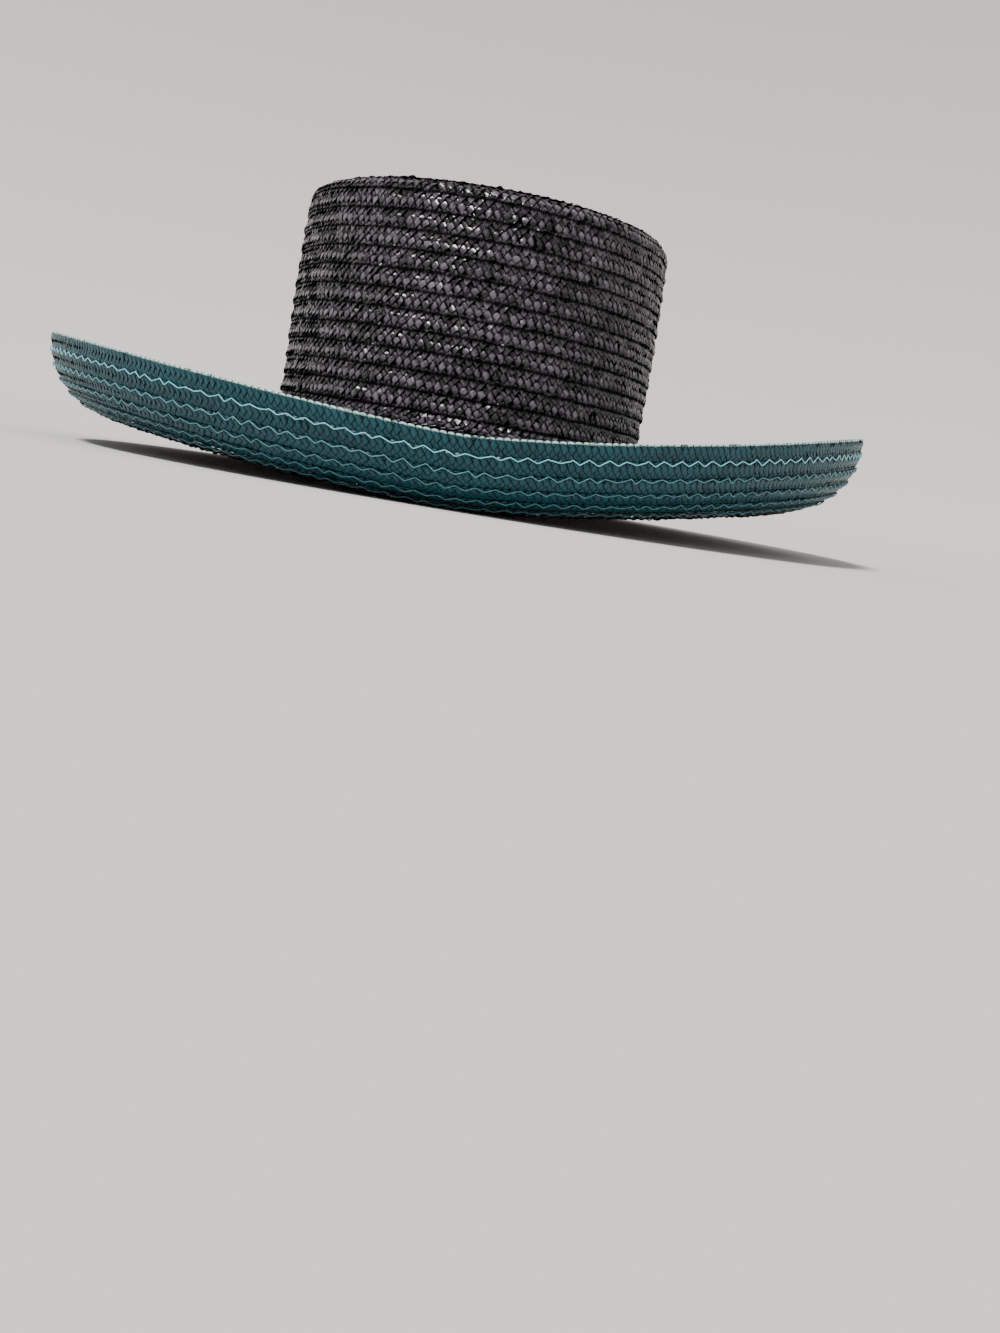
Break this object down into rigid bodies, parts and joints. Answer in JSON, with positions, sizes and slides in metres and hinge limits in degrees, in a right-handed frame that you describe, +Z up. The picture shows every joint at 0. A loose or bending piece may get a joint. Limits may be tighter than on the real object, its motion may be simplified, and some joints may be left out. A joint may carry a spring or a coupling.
{
  "type": "wide-brim straw hat",
  "caption": "Wide-brim straw hat sewn from plaited braid, with a tall flat-topped oval crown and a contrasting border curled up round the brim.",
  "frame": {"origin": "centre of the hat's box, at the floor that its brim rests on", "axes": "+Z up out of the crown, -Y towards the front of the hat, +X towards the brim's higher side"},
  "size_m": [0.371, 0.4082, 0.1291],
  "materials": {
    "black_straw": "glossy near-black plaited straw braid",
    "teal_straw": "satin dark teal plaited straw braid",
    "pale_thread": "shiny pale blue-green sewing thread"
  },
  "bodies": {
    "root": {"crown_tip": "black_straw", "crown_side": "black_straw", "brim": "black_straw", "brim_border": "teal_straw"}
  },
  "joints": []
}
